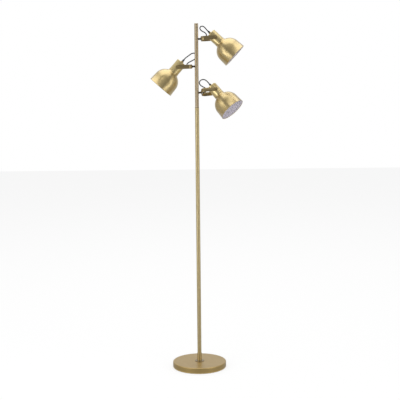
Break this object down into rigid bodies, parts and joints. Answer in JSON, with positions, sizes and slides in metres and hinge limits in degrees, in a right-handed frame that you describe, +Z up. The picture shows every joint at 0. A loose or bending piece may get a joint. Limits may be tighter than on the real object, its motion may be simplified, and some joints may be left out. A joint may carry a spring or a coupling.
{
  "type": "tree floor lamp",
  "caption": "Tree floor lamp: weighted round base, slim upright pole and satin brass dome heads that swivel and tilt on U-shaped yokes, with a free loop of lead at each head.",
  "frame": {"origin": "on the floor, at the centre of the base's underside, on the pole's axis", "axes": "+Z up along the pole; +X to the right as seen from the front; +Y to the back, where the lead's inlet is"},
  "size_m": [0.3993, 0.237, 1.5],
  "materials": {
    "gold_lower": "satin plated, on steel",
    "gold_upper": "satin plated, a little browner",
    "gold_base": "satin plated, on steel",
    "gold_head": "brushed, plated, on steel",
    "shade_metal": "brushed outside, pale inside",
    "dark_metal": "satin",
    "cast_weight": "rough",
    "plain_steel": "zinc plated",
    "black_plastic": "matt",
    "lampholder_plastic": "satin",
    "nylon": "satin",
    "contact_brass": "bright",
    "lead_plastic": "matt",
    "foot_rubber": "matt"
  },
  "bodies": {
    "stand": {"foot_pad": "foot_rubber", "base_plate": "plain_steel", "plate_screws": "plain_steel", "base_weight": "cast_weight", "base_cover": "gold_base", "inlet_bush": "black_plastic", "base_rod": "plain_steel", "base_washer": "plain_steel", "base_nut": "plain_steel", "pole_flange": "dark_metal", "pole_collar": "gold_lower", "pole_insert": "plain_steel", "lower_tube": "gold_lower", "tube_coupler": "dark_metal", "upper_tube": "gold_upper", "top_cap": "gold_upper", "friction_washers": "nylon", "lock_nuts": "plain_steel", "upper_right_stub": "dark_metal", "upper_right_stub_bush": "black_plastic", "upper_left_stub": "dark_metal", "upper_left_stub_bush": "black_plastic", "lower_right_stub": "dark_metal", "lower_right_stub_bush": "black_plastic"},
    "upper_right_arm": {"upper_right_yoke": "gold_head", "upper_right_lead": "lead_plastic"},
    "upper_right_head": {"upper_right_lamp_cup": "gold_head", "upper_right_pivot_screws": "gold_head", "upper_right_pivot_washers": "nylon", "upper_right_lampholder": "lampholder_plastic", "upper_right_threaded_shell": "contact_brass", "upper_right_centre_contact": "contact_brass", "upper_right_shade": "shade_metal", "upper_right_shade_ring": "lampholder_plastic", "upper_right_cord_gland": "gold_head", "upper_right_strain_relief": "black_plastic"},
    "upper_left_arm": {"upper_left_yoke": "gold_head", "upper_left_lead": "lead_plastic"},
    "upper_left_head": {"upper_left_lamp_cup": "gold_head", "upper_left_pivot_screws": "gold_head", "upper_left_pivot_washers": "nylon", "upper_left_lampholder": "lampholder_plastic", "upper_left_threaded_shell": "contact_brass", "upper_left_centre_contact": "contact_brass", "upper_left_shade": "shade_metal", "upper_left_shade_ring": "lampholder_plastic", "upper_left_cord_gland": "gold_head", "upper_left_strain_relief": "black_plastic"},
    "lower_right_arm": {"lower_right_yoke": "gold_head", "lower_right_lead": "lead_plastic"},
    "lower_right_head": {"lower_right_lamp_cup": "gold_head", "lower_right_pivot_screws": "gold_head", "lower_right_pivot_washers": "nylon", "lower_right_lampholder": "lampholder_plastic", "lower_right_threaded_shell": "contact_brass", "lower_right_centre_contact": "contact_brass", "lower_right_shade": "shade_metal", "lower_right_shade_ring": "lampholder_plastic", "lower_right_cord_gland": "gold_head", "lower_right_strain_relief": "black_plastic"}
  },
  "joints": [
    {"name": "upper_right_swivel", "type": "hinge", "parent": "stand", "child": "upper_right_arm", "pos_m": [0, 0, 1.4335], "axis": [0.9983, 0, 0.0576], "range_deg": [-84.5, 95.5]},
    {"name": "upper_right_tilt", "type": "hinge", "parent": "upper_right_arm", "child": "upper_right_head", "pos_m": [0.08087, 0, 1.43816], "axis": [0.0055, 0.9954, -0.0957], "range_deg": [-26.2, 43.8], "deforming": ["upper_right_lead"]},
    {"name": "upper_left_swivel", "type": "hinge", "parent": "stand", "child": "upper_left_arm", "pos_m": [0, 0, 1.319], "axis": [-0.9994, 0, -0.0349], "range_deg": [-90.5, 89.5]},
    {"name": "upper_left_tilt", "type": "hinge", "parent": "upper_left_arm", "child": "upper_left_head", "pos_m": [-0.08095, 0, 1.31617], "axis": [-0.0003, -1, 0.0087], "range_deg": [-26.7, 43.3], "deforming": ["upper_left_lead"]},
    {"name": "lower_right_swivel", "type": "hinge", "parent": "stand", "child": "lower_right_arm", "pos_m": [0, 0, 1.206], "axis": [0.9954, 0, 0.0958], "range_deg": [-66, 114]},
    {"name": "lower_right_tilt", "type": "hinge", "parent": "lower_right_arm", "child": "lower_right_head", "pos_m": [0.08063, 0, 1.21376], "axis": [0.039, 0.9135, -0.4049], "range_deg": [-36.5, 33.5], "deforming": ["lower_right_lead"]}
  ]
}
